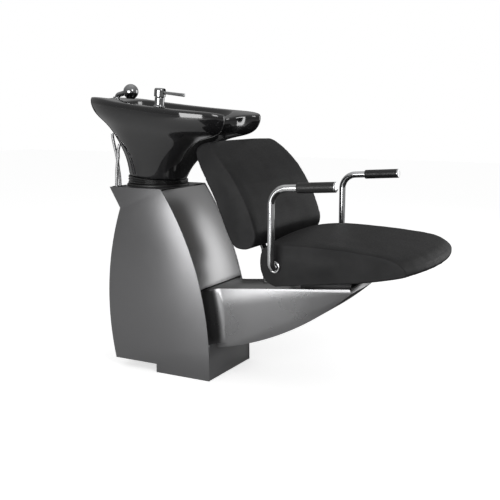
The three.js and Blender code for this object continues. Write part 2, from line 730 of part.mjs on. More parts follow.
function basinBowl() {
  const rim = rimCurve(RIM_OUTER);
  const mouth = rimCurve(RIM_INNER);
  const outside = [
    [0, 0],
    [0.04, 0.1],
    [0.125, 0.24],
    [0.305, 0.42],
    [0.53, 0.61],
    [0.74, 0.705],
    [0.88, 0.775],
    [0.965, 0.855],
    [1.005, 0.93],
    [0.995, 0.985],
  ].map(([growth, height]) => outsideRing(rim, growth, height));
  const crown = between(FOOT_R, FOOT_W, rim, 0.965, 1);
  const inside = [
    [0.985, 0.99],
    [0.93, 0.86],
    [0.82, 0.66],
    [0.71, 0.46],
    [0.6, 0.26],
    [0.45, 0.11],
    [0.26, 0.035],
    [0, 0],
  ].map(([growth, height]) => between(30, 62, mouth, growth, height));
  const mouthEdge = between(30, 62, mouth, 1, 1);
  const underside = [[30, 48], [94, 44], [97, FOOT_W]].map(([radius, w]) => between(radius, w, rim, 0, 0));
  const body = skin([...outside, crown, mouthEdge, ...inside, ...underside], true);
  const hoseHole = rodZ(9, HANDSET.u, HANDSET.v, 100, 300, 16);
  const mixerHole = rodZ(12, MIXER.u, MIXER.v, 233, 300, 16);
  addPart('basin_bowl', cut(body, hoseHole, mixerHole), BLACK_CERAMIC, basinGroup);

  const strainer = turned([[6, 61], [20, 61], [24, 63], [24, 66], [6, 64], [6, 61]], 24);
  addPart('drain_strainer', strainer, CHROME, basinGroup);
  const tailpiece = turned([[16, -60], [19, -60], [19, 47], [27, 47], [27, 60.5], [16, 60.5], [16, -60]], 24);
  addPart('drain_tailpiece', tailpiece, CHROME, basinGroup);
}

function tiltHinge() {
  const hubPlate = ringZ(30, 88, 0, 0, 35, 43, 24);
  const hubEars = [-1, 1].map((side) => {
    const y = side * 60;
    return box(-16, 16, y - 4, y + 4, -14, 36);
  });
  const pinHole = rodY(6.4, 0, 0, -100, 100, 20);
  addPart('tilt_hub', cut(join(hubPlate, ...hubEars), pinHole), BLACK_STEEL, basinGroup);

  const { x, z } = BASIN_PIVOT;
  const basePlate = ringZ(60, 94, x, 0, TOP_Z + GAP, TOP_Z + 5, 24);
  const baseEars = [-1, 1].map((side) => {
    const y = side * 72;
    return box(x - 14, x + 14, y - 4, y + 4, TOP_Z + 4, z + 14);
  });
  const baseHole = rodY(6.2, x, z, -100, 100, 20);
  addPart('tilt_bracket', cut(join(basePlate, ...baseEars), baseHole), BLACK_STEEL);
  for (const [side, word] of [[-1, 'near'], [1, 'far']]) {
    const near = Math.min(side * 54, side * 80);
    addPart(`tilt_pin_${word}`, rodY(6, x, z, near, near + 26, 20), BARE_STEEL);
  }
}

function gaiter() {
  const { x, z } = BASIN_PIVOT;
  addPart('gaiter_base_ring', ringZ(96, 111, x, 0, TOP_Z + GAP, TOP_Z + 8, 32), BLACK_RUBBER);

  const count = 32;
  const lowZ = TOP_Z + 8 + GAP;
  const ring = (radius, share) => Array.from({ length: count }, (_, i) => {
    const angle = (i / count) * 2 * Math.PI;
    const low = new THREE.Vector3(x + radius * Math.cos(angle), radius * Math.sin(angle), lowZ);
    const high = new THREE.Vector3(radius * Math.cos(angle), radius * Math.sin(angle), FOOT_W - 0.5);
    high.applyAxisAngle(new THREE.Vector3(0, 1, 0), BASIN_TILT).add(new THREE.Vector3(x, 0, z));
    return low.lerp(high, share);
  });
  const folds = [
    [105.5, 0],
    [107.5, 0.12],
    [105, 0.3],
    [107.5, 0.5],
    [105, 0.7],
    [107, 0.88],
    [104, 1],
  ];
  const rings = [...folds.map(([r, share]) => ring(r, share)), ring(97, 1), ring(97, 0)];
  addPart('tilt_gaiter', skin(rings, true), BLACK_RUBBER);
}

// ---- mixer tap and hand shower ----
const LEVER_LENGTH = 88;
const LEVER_DROOP = 1.5 * DEG;
const LEVER_R = 5.4;

function mixer() {
  const { u, v } = MIXER;
  const base = RIM_W + 1.3;
  const capLow = RIM_W + 34.4;
  const capHigh = RIM_W + 63;
  const body = turned([
    [0, 235],
    [8, 235],
    [8, base],
    [20, base],
    [20, base + 3.2],
    [16, base + 3.2],
    [16, capLow - 0.4],
    [0, capLow - 0.4],
  ], 24);
  addPart('mixer_body', body.translate(u, v, 0), CHROME, basinGroup);

  const cap = turned([
    [0, capLow],
    [19, capLow],
    [19, capHigh - 1.5],
    [17.5, capHigh],
    [0, capHigh],
  ], 20).translate(u, v, 0);
  const slot = box(u - 6, u + 30, v - 5.8, v + 5.8, capLow + 8, capHigh + 5);
  const hinge = { u: u + 4, w: capLow + 15 };
  const pinHole = rodY(1.9, hinge.u, hinge.w, v - 13.5, v + 13.5, 12);
  addPart('mixer_cap', cut(cap, slot, pinHole), CHROME, basinGroup);
  addPart('lever_pin', rodY(1.5, hinge.u, hinge.w, v - 13, v + 13, 12), BARE_STEEL, basinGroup);

  const rod = new THREE.CylinderGeometry(LEVER_R, LEVER_R, LEVER_LENGTH, 16);
  rod.rotateZ(Math.PI / 2).translate(LEVER_LENGTH / 2 + 4, 0, 0);
  const hub = rodY(5.6, 0, 0, -4.8, 4.8, 20);
  const lever = cut(join(hub, rod), rodY(1.9, 0, 0, -10, 10, 12));
  lever.rotateY(LEVER_DROOP).translate(hinge.u, v, hinge.w);
  addPart('mixer_lever', lever, CHROME, basinGroup);
}

function handShower() {
  const { u, v, w } = HANDSET;
  const socket = turned([
    [11.2, w + GAP],
    [17.5, w + GAP],
    [17.5, w + 3],
    [14, w + 11],
    [11.2, w + 11],
    [11.2, w + GAP],
  ], 20);
  addPart('handset_socket', socket.translate(u, v, 0), CHROME, basinGroup);

  const at = (du, dw) => new THREE.Vector3(u + du, v, w + dw);
  const reach = 60;
  const ballHeight = 34;
  const neckPath = bentPath([at(0, 2), at(0, 17), at(44, 31)], [14]);
  const ball = new THREE.SphereGeometry(27, 20, 12).translate(u + reach, v, w + ballHeight);
  const face = rodZ(16.5, u + reach, v, w + ballHeight - 30, w + ballHeight - 22, 24);
  addPart('handset_neck', cut(sweep(neckPath, 9, 0, 14), ball), CHROME, basinGroup);
  addPart('handset_ball', cut(ball, face), CHROME, basinGroup);
  const spray = rodZ(15.5, u + reach, v, w + ballHeight - 25, w + ballHeight - 22.4, 24);
  addPart('spray_face', spray, BLACK_GRIP, basinGroup);
  addPart('handset_hose', rodZ(6.5, u, v, w - 66, w + 1.6, 12), BLACK_RUBBER, basinGroup);
}

// ---- water and waste ----
const HOSE_R = 5.5;
const HOSES = {
  shower_hose: [
    [-443, -65, 829],
    [-436, -70, 806],
    [-424, -77, 780],
    [-409, -86, 746],
    [-398, -94, 710],
    [-388, -101, 676],
    [-384, -104, 648],
    [-371, -106, 622],
    [-352, -108, 596],
  ],
  supply_hose: [
    [-397, -85, 794],
    [-397, -94, 771],
    [-393, -100, 750],
    [-393, -107, 725],
    [-390, -115, 698],
    [-386, -122, 674],
    [-383, -126, 648],
    [-369, -128, 622],
    [-350, -127, 596],
  ],
};

function hoses() {
  for (const [name, route] of Object.entries(HOSES)) {
    const points = route.map(([x, y, z]) => new THREE.Vector3(x, y, z));
    const curve = new THREE.CatmullRomCurve3(points, false, 'centripetal');
    addPart(name, sweep(curve, HOSE_R, 0, 8, 20), CHROME);
  }
  const { x0, x1, y0, y1 } = HOSE_SLOT;
  const lip = 2.8;
  const frame = box(x0 + GAP, x1 - GAP, y0 + GAP, y1 - GAP, TOP_Z - SHEET, TOP_Z + 2);
  const mouth = box(x0 + lip, x1 - lip, y0 + lip, y1 - lip, TOP_Z - 10, TOP_Z + 10);
  addPart('hose_grommet', cut(frame, mouth), BLACK_RUBBER);
}

function waste() {
  const x = BASIN_PIVOT.x;
  const boot = turned([
    [46, 636], [46, 611], [25, 571], [25, 540], [29, 540], [29, 570], [50, 610], [50, 636], [46, 636],
  ], 20);
  addPart('waste_boot', boot.translate(x, 0, 0), BLACK_RUBBER);
  const path = bentPath([
    new THREE.Vector3(x, 0, 566),
    new THREE.Vector3(x, 0, 330),
    new THREE.Vector3(x, 80, 330),
    new THREE.Vector3(x, 80, 440),
    new THREE.Vector3(x - 40, 80, 440),
    new THREE.Vector3(x - 40, 80, 60),
  ], [38, 38, 19, 19]);
  addPart('waste_trap', sweep(path, 20, 17, 10), WHITE_PLASTIC);
  for (const [word, y] of [['hot', -60], ['cold', -105]]) {
    const valveBody = rodZ(12, -300, y, 480, 545, 16);
    const knob = rodY(14, -300, 512, y - 26, y - 11, 16);
    addPart(`stop_valve_${word}`, join(valveBody, knob), CHROME);
  }
}

pedestalPanels();
rearCoverScrews();
steelFrame();
beamShell();
seat();
backrest();
seatBracket();
armrest(-1, 'near');
armrest(1, 'far');
basinBowl();
tiltHinge();
gaiter();
mixer();
handShower();
hoses();
waste();

unit.position.x = PLINTH_LENGTH / 2;
unit.updateMatrixWorld(true);

export default unit;
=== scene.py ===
"""Looks of the shampoo backwash unit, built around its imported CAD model.

Metres, +X towards the client's feet, +Z up. Places come from the CAD nodes' own boxes and meshes.
"""

import json
import math

import bmesh
import bpy
import numpy as np
from mathutils import Matrix, Vector
from mathutils.bvhtree import BVHTree

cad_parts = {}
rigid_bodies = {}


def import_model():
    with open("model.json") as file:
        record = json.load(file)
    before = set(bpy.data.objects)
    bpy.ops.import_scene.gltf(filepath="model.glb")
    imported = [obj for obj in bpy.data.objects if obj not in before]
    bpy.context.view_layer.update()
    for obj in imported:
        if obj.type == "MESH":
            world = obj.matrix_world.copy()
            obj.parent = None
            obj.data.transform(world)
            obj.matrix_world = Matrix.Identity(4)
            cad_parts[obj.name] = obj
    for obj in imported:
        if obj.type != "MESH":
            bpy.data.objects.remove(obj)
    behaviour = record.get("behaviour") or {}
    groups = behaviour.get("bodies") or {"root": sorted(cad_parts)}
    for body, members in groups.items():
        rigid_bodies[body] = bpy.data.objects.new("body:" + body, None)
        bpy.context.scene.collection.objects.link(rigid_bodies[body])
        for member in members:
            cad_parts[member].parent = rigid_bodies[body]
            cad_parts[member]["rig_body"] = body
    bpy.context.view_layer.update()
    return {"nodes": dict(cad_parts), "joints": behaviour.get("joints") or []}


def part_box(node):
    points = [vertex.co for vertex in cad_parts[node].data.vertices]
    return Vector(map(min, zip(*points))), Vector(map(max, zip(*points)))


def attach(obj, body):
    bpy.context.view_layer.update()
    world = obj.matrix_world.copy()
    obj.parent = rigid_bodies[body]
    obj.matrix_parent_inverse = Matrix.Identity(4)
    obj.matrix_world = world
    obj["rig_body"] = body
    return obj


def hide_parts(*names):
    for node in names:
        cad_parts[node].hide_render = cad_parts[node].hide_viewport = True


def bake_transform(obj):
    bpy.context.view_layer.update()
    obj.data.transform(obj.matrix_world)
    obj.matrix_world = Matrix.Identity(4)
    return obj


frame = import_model()
nodes = frame["nodes"]
joints = {joint["name"]: joint for joint in frame["joints"]}

# ---- camera ----
CAMERA_PLACE = Vector((1.4662, -2.4040, 0.9144))
CAMERA_AZIMUTH = math.radians(28.0)
CAMERA_PITCH = math.radians(9.89)
CAMERA_LENS_MM = 58.02
CAMERA_SENSOR_MM = 36

camera_data = bpy.data.cameras.new("camera")
camera_data.sensor_width = CAMERA_SENSOR_MM
camera_data.lens = CAMERA_LENS_MM
camera = bpy.data.objects.new("camera", camera_data)
camera.location = CAMERA_PLACE
camera.rotation_euler = (math.pi / 2 - CAMERA_PITCH, 0, CAMERA_AZIMUTH)
bpy.context.scene.collection.objects.link(camera)
bpy.context.scene.camera = camera


# ---- materials ----
class Shader:
    """A Principled material, with short helpers for the nodes that feed it."""

    def __init__(self, name, color, roughness, metallic=0.0, **sockets):
        self.material = bpy.data.materials.new(name)
        self.material.use_nodes = True
        self.tree = self.material.node_tree
        self.bsdf = self.tree.nodes["Principled BSDF"]
        self.set("Base Color", (*color, 1))
        self.set("Roughness", roughness)
        self.set("Metallic", metallic)
        for socket, value in sockets.items():
            self.set(socket.replace("_", " "), value)
        self.coords = self.tree.nodes.new("ShaderNodeTexCoord")
        self.height = None

    def set(self, socket, value):
        self.bsdf.inputs[socket].default_value = value

    def noise(self, scale, detail=3.0, roughness=0.5, stretch=(1, 1, 1)):
        mapping = self.tree.nodes.new("ShaderNodeMapping")
        mapping.inputs["Scale"].default_value = stretch
        texture = self.tree.nodes.new("ShaderNodeTexNoise")
        texture.inputs["Scale"].default_value = scale
        texture.inputs["Detail"].default_value = detail
        texture.inputs["Roughness"].default_value = roughness
        self.tree.links.new(self.coords.outputs["Object"], mapping.inputs["Vector"])
        self.tree.links.new(mapping.outputs["Vector"], texture.inputs["Vector"])
        return texture.outputs["Fac"]

    def cells(self, scale):
        texture = self.tree.nodes.new("ShaderNodeTexVoronoi")
        texture.feature = "SMOOTH_F1"
        texture.inputs["Scale"].default_value = scale
        self.tree.links.new(self.coords.outputs["Object"], texture.inputs["Vector"])
        return texture.outputs["Distance"]

    def ramp(self, source, low, high, start=0.35, end=0.65):
        ramp = self.tree.nodes.new("ShaderNodeValToRGB")
        ramp.color_ramp.elements[0].position = start
        ramp.color_ramp.elements[0].color = (*low, 1)
        ramp.color_ramp.elements[1].position = end
        ramp.color_ramp.elements[1].color = (*high, 1)
        self.tree.links.new(source, ramp.inputs["Fac"])
        return ramp.outputs["Color"]

    def vary_color(self, source, low, high, start=0.35, end=0.65):
        color = self.ramp(source, low, high, start, end)
        self.tree.links.new(color, self.bsdf.inputs["Base Color"])

    def vary_roughness(self, source, low, high, start=0.35, end=0.65):
        color = self.ramp(source, (low,) * 3, (high,) * 3, start, end)
        self.tree.links.new(color, self.bsdf.inputs["Roughness"])

    def bump(self, source, strength, distance):
        node = self.tree.nodes.new("ShaderNodeBump")
        node.inputs["Strength"].default_value = strength
        node.inputs["Distance"].default_value = distance
        self.tree.links.new(source, node.inputs["Height"])
        if self.height is not None:
            self.tree.links.new(self.height, node.inputs["Normal"])
        self.height = node.outputs["Normal"]
        self.tree.links.new(self.height, self.bsdf.inputs["Normal"])


PAINT_METALLIC = 0.8


def painted_steel(name, low, high, roughness):
    """The shader of a metallic powder coat: fine flakes, light orange peel, faint handling marks."""
    shader = Shader(name, low, roughness, PAINT_METALLIC)
    shader.vary_color(shader.noise(scale=2600, detail=1.0), low, high, start=0.3, end=0.7)
    shader.vary_roughness(shader.noise(scale=7, detail=4.0), roughness - 0.01, roughness + 0.02)
    shader.bump(shader.noise(scale=420, detail=2.0), strength=0.12, distance=0.0004)
    return shader


def paint_shade_past(shader, limit, width, color):
    """Paints shade: blends the shader's paint to a darker colour beyond a distance from the middle
    plane.
    """
    tree = shader.tree
    split = tree.nodes.new("ShaderNodeSeparateXYZ")
    side = tree.nodes.new("ShaderNodeMath")
    side.operation = "ABSOLUTE"
    shade_share = tree.nodes.new("ShaderNodeMapRange")
    shade_share.interpolation_type = "SMOOTHSTEP"
    shade_share.inputs["From Min"].default_value = limit
    shade_share.inputs["From Max"].default_value = limit + width
    shade_mix = tree.nodes.new("ShaderNodeMix")
    shade_mix.data_type = "RGBA"
    shade_mix.inputs["B"].default_value = (*color, 1)
    socket = shader.bsdf.inputs["Base Color"]
    flakes = socket.links[0].from_socket
    tree.links.new(shader.coords.outputs["Object"], split.inputs["Vector"])
    tree.links.new(split.outputs["Y"], side.inputs[0])
    tree.links.new(side.outputs[0], shade_share.inputs["Value"])
    tree.links.new(shade_share.outputs["Result"], shade_mix.inputs["Factor"])
    tree.links.new(flakes, shade_mix.inputs["A"])
    tree.links.new(shade_mix.outputs["Result"], socket)


def chrome(name, color=(0.66, 0.665, 0.67), roughness=0.07):
    shader = Shader(name, color, roughness, metallic=1.0)
    shader.vary_roughness(shader.noise(scale=60, detail=3.0), roughness - 0.02, roughness + 0.05)
    return shader.material


def black_vinyl():
    """Upholstery vinyl: pebbled grain with soft creases between the pebbles."""
    shader = Shader("black_vinyl", (0.022, 0.022, 0.023), roughness=0.4, Specular_IOR_Level=0.08)
    shader.vary_color(shader.noise(scale=14, detail=4.0), (0.02, 0.02, 0.0205), (0.026, 0.026, 0.0265))
    shader.vary_roughness(shader.noise(scale=240, detail=3.0), 0.38, 0.5)
    shader.bump(shader.cells(scale=900), strength=0.3, distance=0.0004)
    shader.bump(shader.noise(scale=1600, detail=2.0), strength=0.15, distance=0.0002)
    return shader.material


def glazed_ceramic():
    """Black glaze under a clear one, with the slow unevenness of fired ware."""
    shader = Shader("black_glaze", (0.0075, 0.0075, 0.008), roughness=0.08, IOR=1.7)
    shader.set("Coat Weight", 0.5)
    shader.set("Coat Roughness", 0.03)
    shader.vary_roughness(shader.noise(scale=9, detail=3.0), 0.05, 0.13)
    shader.bump(shader.noise(scale=30, detail=2.0), strength=0.05, distance=0.0006)
    return shader.material


def black_rubber(name, roughness):
    shader = Shader(name, (0.012, 0.012, 0.012), roughness)
    shader.vary_roughness(shader.noise(scale=90, detail=3.0), roughness - 0.06, roughness + 0.08)
    shader.bump(shader.noise(scale=700, detail=2.0), strength=0.15, distance=0.0003)
    return shader.material


def black_steel():
    shader = Shader("black_steel", (0.012, 0.012, 0.013), roughness=0.42, Coat_Weight=0.3)
    shader.bump(shader.noise(scale=500, detail=2.0), strength=0.15, distance=0.0003)
    shader.vary_roughness(shader.noise(scale=20, detail=3.0), 0.36, 0.5)
    return shader.material


def rolled_steel():
    shader = Shader("rolled_steel", (0.2, 0.2, 0.21), roughness=0.42, metallic=1.0)
    shader.vary_color(shader.noise(scale=30, detail=5.0), (0.14, 0.14, 0.145), (0.26, 0.26, 0.27))
    shader.vary_roughness(shader.noise(scale=8, detail=4.0, stretch=(1, 1, 14)), 0.32, 0.55)
    return shader.material


def plywood():
    shader = Shader("stained_ply", (0.05, 0.036, 0.025), roughness=0.6)
    grain = shader.noise(scale=34, detail=5.0, roughness=0.6, stretch=(1, 12, 1))
    shader.vary_color(grain, (0.035, 0.025, 0.018), (0.075, 0.055, 0.038))
    shader.bump(grain, strength=0.2, distance=0.0004)
    return shader.material


def white_plastic():
    shader = Shader("white_pvc", (0.7, 0.7, 0.67), roughness=0.35)
    shader.vary_roughness(shader.noise(scale=30, detail=3.0), 0.3, 0.42)
    return shader.material


GREY_PAINT = painted_steel("grey_paint", (0.2, 0.2, 0.204), (0.225, 0.225, 0.229), 0.3).material
# Painted light: the front sheet takes a paler copy of the grey paint, for the light that falls on its
# upturned face.
LIT_FRONT_PAINT = painted_steel("lit_front_paint", (0.42, 0.42, 0.425), (0.46, 0.46, 0.465), 0.3).material

# Painted shade: the beam's paint turns near black on its root fillets beside the pedestal, where the
# concave corner lies in shade.
ROOT_FILLET_Y = 0.0935
ROOT_FILLET_SHADE_FADE = 0.012
ROOT_FILLET_SHADE_COLOR = (0.05, 0.05, 0.051)
beam_shader = painted_steel("beam_paint_root_shade", (0.235, 0.235, 0.239), (0.26, 0.26, 0.264), 0.28)
paint_shade_past(beam_shader, ROOT_FILLET_Y, ROOT_FILLET_SHADE_FADE, ROOT_FILLET_SHADE_COLOR)
BEAM_PAINT_ROOT_SHADE = beam_shader.material

CHROME = chrome("chrome")
FITTING_CHROME = chrome("fitting_chrome", (0.36, 0.363, 0.367), 0.1)
HOSE_STEEL = chrome("hose_steel", (0.6, 0.6, 0.61), 0.2)
VINYL = black_vinyl()
GLAZE = glazed_ceramic()
GAITER_RUBBER = black_rubber("gaiter_rubber", 0.2)
PLAIN_RUBBER = black_rubber("plain_rubber", 0.45)
GRIP_RUBBER = black_rubber("grip_rubber", 0.38)
BLACK_STEEL = black_steel()
ROLLED_STEEL = rolled_steel()
PLYWOOD = plywood()
WHITE_PVC = white_plastic()


# ---- mesh helpers ----
WELD_DISTANCE = 1e-6
FLAT_JOIN = math.radians(0.6)
SMOOTH_ANGLE = math.radians(35)
CORNER_ANGLE = math.radians(30)
EDGE_SEGMENTS = 2


def link(name, mesh, material, node, rides=True):
    """A finished piece: painted, riding its CAD node's body, and standing for that node."""
    piece = bpy.data.objects.new(name, mesh)
    bpy.context.scene.collection.objects.link(piece)
    mesh.materials.clear()
    mesh.materials.append(material)
    if rides:
        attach(piece, nodes[node]["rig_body"])
    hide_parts(node)
    return piece


def welded(node):
    """The CAD node's mesh with its shared corners made one."""
    work = bmesh.new()
    work.from_mesh(nodes[node].data)
    bmesh.ops.remove_doubles(work, verts=work.verts, dist=WELD_DISTANCE)
    return work


def shaded(work, smooth_angle=SMOOTH_ANGLE):
    """A mesh from a bmesh, smooth except across its corners."""
    bmesh.ops.recalc_face_normals(work, faces=work.faces)
    for face in work.faces:
        face.smooth = True
    for edge in work.edges:
        faces = edge.link_faces
        edge.smooth = len(faces) == 2 and edge.calc_face_angle(0) < smooth_angle
    mesh = bpy.data.meshes.new("piece")
    work.to_mesh(mesh)
    work.free()
    return mesh


def softened(node, radius):
    """A CAD node's own shape, its flat faces made whole and its sharp corners rolled."""
    work = welded(node)
    bmesh.ops.dissolve_limit(work, angle_limit=FLAT_JOIN, verts=work.verts, edges=work.edges)
    corners = [
        edge
        for edge in work.edges
        if len(edge.link_faces) == 2 and edge.calc_face_angle(0) > CORNER_ANGLE
    ]
    bmesh.ops.bevel(
        work,
        geom=corners,
        offset=radius,
        offset_type="OFFSET",
        segments=EDGE_SEGMENTS,
        profile=0.5,
        affect="EDGES",
        clamp_overlap=True,
    )
    return shaded(work)


def helper_object(name, mesh):
    """An object that carries a mesh through its modifiers, and is removed after."""
    helper = bpy.data.objects.new(name, mesh)
    bpy.context.scene.collection.objects.link(helper)
    return helper


def subdivide(piece, levels):
    subdivision = piece.modifiers.new("subdivision", "SUBSURF")
    subdivision.levels = levels
    subdivision.render_levels = levels


def evaluated(piece):
    """A new mesh of the object as its modifiers leave it."""
    graph = bpy.context.evaluated_depsgraph_get()
    return bpy.data.meshes.new_from_object(piece.evaluated_get(graph))


# ---- sheets, frame, boards and bolts ----
# Each piece's name, its CAD node, the radius of its edges and its material.
SOFTENED_PIECES = [
    ("near_side_panel", "side_panel_near", 0.0012, GREY_PAINT),
    ("far_side_panel", "side_panel_far", 0.0012, GREY_PAINT),
    ("front_sheet", "front_panel", 0.0008, LIT_FRONT_PAINT),
    ("kick_sheet", "kick_panel", 0.0008, GREY_PAINT),
    ("rear_sheet", "rear_cover", 0.0008, GREY_PAINT),
    ("top_sheet", "top_plate", 0.0008, GREY_PAINT),
    ("bottom_sheet", "bottom_pan", 0.0008, GREY_PAINT),
    ("beam_skin", "beam_shell", 0.0016, BEAM_PAINT_ROOT_SHADE),
    ("seat_carrier", "seat_bracket", 0.0012, BLACK_STEEL),
    ("near_back_bar", "back_bracket_near", 0.0015, BLACK_STEEL),
    ("far_back_bar", "back_bracket_far", 0.0015, BLACK_STEEL),
    ("floor_plate", "base_plate", 0.0015, ROLLED_STEEL),
    ("inner_column", "column", 0.0015, ROLLED_STEEL),
    ("inner_spine", "beam_spine", 0.0015, ROLLED_STEEL),
    ("tilt_saddle", "tilt_bracket", 0.001, BLACK_STEEL),
    ("tilt_ears", "tilt_hub", 0.001, BLACK_STEEL),
    ("seat_plywood", "seat_board", 0.001, PLYWOOD),
    ("back_plywood", "back_board", 0.001, PLYWOOD),
    ("slot_grommet", "hose_grommet", 0.0008, PLAIN_RUBBER),
    ("near_carrier_bolt", "bracket_bolt_near", 0.0006, ROLLED_STEEL),
    ("far_carrier_bolt", "bracket_bolt_far", 0.0006, ROLLED_STEEL),
]
for piece_name, node_name, edge_radius, material in SOFTENED_PIECES:
    link(piece_name, softened(node_name, edge_radius), material, node_name)

# CAD nodes that are shown as they are, with their materials.
PLAIN_NODES = {
    "drain_strainer": CHROME,
    "drain_tailpiece": CHROME,
    "lever_pin": ROLLED_STEEL,
    "handset_hose": PLAIN_RUBBER,
    "arm_stud_near": ROLLED_STEEL,
    "arm_stud_far": ROLLED_STEEL,
    "tilt_pin_near": ROLLED_STEEL,
    "tilt_pin_far": ROLLED_STEEL,
    "waste_boot": PLAIN_RUBBER,
    "waste_trap": WHITE_PVC,
    "stop_valve_hot": CHROME,
    "stop_valve_cold": CHROME,
    "rear_cover_screw_1": CHROME,
    "rear_cover_screw_2": CHROME,
    "rear_cover_screw_3": CHROME,
    "rear_cover_screw_4": CHROME,
}
for node_name, material in PLAIN_NODES.items():
    mesh = nodes[node_name].data
    mesh.materials.clear()
    mesh.materials.append(material)
    mesh.shade_smooth()
    mesh.set_sharp_from_angle(angle=SMOOTH_ANGLE)


# ---- basin ----
QUAD_BEND = math.radians(50)
QUAD_SKEW = math.radians(60)
BOWL_LEVELS = 2


def grid_smoothed(node, levels):
    """The CAD surface's quads found again and subdivided, so that its facets become one curve."""
    work = welded(node)
    bmesh.ops.join_triangles(
        work,
        faces=work.faces,
        angle_face_threshold=QUAD_BEND,
        angle_shape_threshold=QUAD_SKEW,
    )
    mesh = bpy.data.meshes.new("grid")
    work.to_mesh(mesh)
    work.free()
    helper = helper_object("grid", mesh)
    subdivide(helper, levels)
    smooth = evaluated(helper)
    bpy.data.objects.remove(helper)
    smooth.shade_smooth()
    return smooth


link("glazed_bowl", grid_smoothed("basin_bowl", BOWL_LEVELS), GLAZE, "basin_bowl")


# ---- upholstery ----
PAD_VOXEL = 0.006
PAD_PRESSURE = 4.0
PAD_FRAMES = 20
PAD_SWELL = 0.004
PAD_CALM_ROUNDS = 12
PAD_SMOOTH_FACTOR = 0.5
PAD_SMOOTH_ROUNDS = 2
CROWN_FADE = 0.25
# The share of the crown where the pad faces sideways, and how fast it grows towards its top.
CROWN_SIDES = 0.6
CROWN_TURN = 1.2

# Each pad's name, its CAD node, the height of its crown and the X where the crown has ended.
PADS = [
    ("seat_pad", "seat_cushion", 0.018, 0.72),
    ("back_pad", "backrest_cushion", 0.004, 0.6),
]


def rows_of(count, collection, field):
    """A field of three numbers for each item of a mesh's collection, as rows of an array."""
    flat = np.empty(count * 3)
    collection.foreach_get(field, flat)
    return flat.reshape(-1, 3)


def spread(mesh, values, rounds):
    """Each vertex's value, averaged with its neighbours' a number of times."""
    ends = np.empty(len(mesh.edges) * 2, int)
    mesh.edges.foreach_get("vertices", ends)
    ends = ends.reshape(-1, 2)
    degree = np.bincount(ends.ravel(), minlength=len(values))
    for _ in range(rounds):
        near = np.bincount(ends[:, 0], values[ends[:, 1]], len(values))
        near += np.bincount(ends[:, 1], values[ends[:, 0]], len(values))
        values = (values + near / degree) / 2
    return values


def cloth_swell(pad, start, normal):
    """How far each vertex moves outwards when the pad is blown up as a cloth bag."""
    scene = bpy.context.scene
    cloth = pad.modifiers.new("cloth", "CLOTH")
    cloth.settings.use_pressure = True
    cloth.settings.uniform_pressure_force = PAD_PRESSURE
    cloth.settings.effector_weights.gravity = 0
    cloth.point_cache.frame_start = 1
    cloth.point_cache.frame_end = PAD_FRAMES
    for step in range(1, PAD_FRAMES + 1):
        scene.frame_set(step)
    moved = rows_of(len(start), evaluated(pad).vertices, "co")
    pad.modifiers.clear()
    scene.frame_set(1)
    return ((moved - start) * normal).sum(1)


def simulated_pad(node, crown, crown_until):
    """The CAD pad, blown up by cloth simulation, crowned across its width, and subdivided.

    The crown fades out towards crown_until in X, and where the pad faces down.
    """
    pad = helper_object("pad_work", nodes[node].data.copy())
    remesh = pad.modifiers.new("remesh", "REMESH")
    remesh.mode = "VOXEL"
    remesh.voxel_size = PAD_VOXEL
    pad.data = evaluated(pad)
    pad.modifiers.clear()

    count = len(pad.data.vertices)
    start = rows_of(count, pad.data.vertices, "co")
    normal = rows_of(count, pad.data.vertex_normals, "vector")
    swell = cloth_swell(pad, start, normal)
    swell = spread(pad.data, np.clip(swell, 0, PAD_SWELL), PAD_CALM_ROUNDS)

    half_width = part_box(node)[1].y
    across = 1 - (start[:, 1] / half_width) ** 2
    along = np.clip((crown_until - start[:, 0]) / CROWN_FADE, 0, 1)
    facing = np.clip(CROWN_TURN * normal[:, 2] + CROWN_SIDES, 0, 1)
    raised = spread(pad.data, crown * across * along * facing, PAD_CALM_ROUNDS)
    moved = start + (swell + raised)[:, None] * normal
    pad.data.vertices.foreach_set("co", moved.ravel())
    pad.data.update()

    smooth = pad.modifiers.new("smooth", "SMOOTH")
    smooth.factor = PAD_SMOOTH_FACTOR
    smooth.iterations = PAD_SMOOTH_ROUNDS
    subdivide(pad, 1)
    final = evaluated(pad)
    bpy.data.objects.remove(pad)
    hold_size(final, nodes[node].data)
    final.shade_smooth()
    return final


def hold_size(mesh, target):
    """Puts what smoothing drew inside the target back on its surface, so that edges stay crisp."""
    corners = [vertex.co for vertex in target.vertices]
    faces = [tuple(face.vertices) for face in target.polygons]
    tree = BVHTree.FromPolygons(corners, faces)
    for vertex in mesh.vertices:
        place, normal, _, _ = tree.find_nearest(vertex.co)
        if (vertex.co - place).dot(normal) < 0:
            vertex.co = place


for piece_name, node_name, crown, crown_until in PADS:
    pad_mesh = simulated_pad(node_name, crown, crown_until)
    piece = link(piece_name, pad_mesh, VINYL, node_name)


# ---- tubes, hoses and turned pieces ----
TUBE_SIDES = 40
TURNED_SIDES = 48
BEND_STEPS = 14
ROUND_STEPS = 4
# A rounded corner takes at most one 2.1th of each side that meets there.
ROUND_SHARE = 2.1
ON_AXIS = 1e-9
# The gap between pieces that sit on one another.
SEAM = 0.0003


def bent_path(corners, radii):
    """A line through corners, each one but the ends turned on an arc of its radius."""
    corners = [Vector(corner) for corner in corners]
    path = [corners[0]]
    for before, corner, after, radius in zip(corners, corners[1:], corners[2:], radii):
        back = (before - corner).normalized()
        ahead = (after - corner).normalized()
        half = back.angle(ahead) / 2
        middle = corner + (back + ahead).normalized() * radius / math.sin(half)
        start = corner + back * radius / math.tan(half) - middle
        end = corner + ahead * radius / math.tan(half) - middle
        turn = start.angle(end)
        for k in range(BEND_STEPS + 1):
            t = k / BEND_STEPS
            spoke = start * math.sin((1 - t) * turn) + end * math.sin(t * turn)
            path.append(middle + spoke / math.sin(turn))
    return path + [corners[-1]]


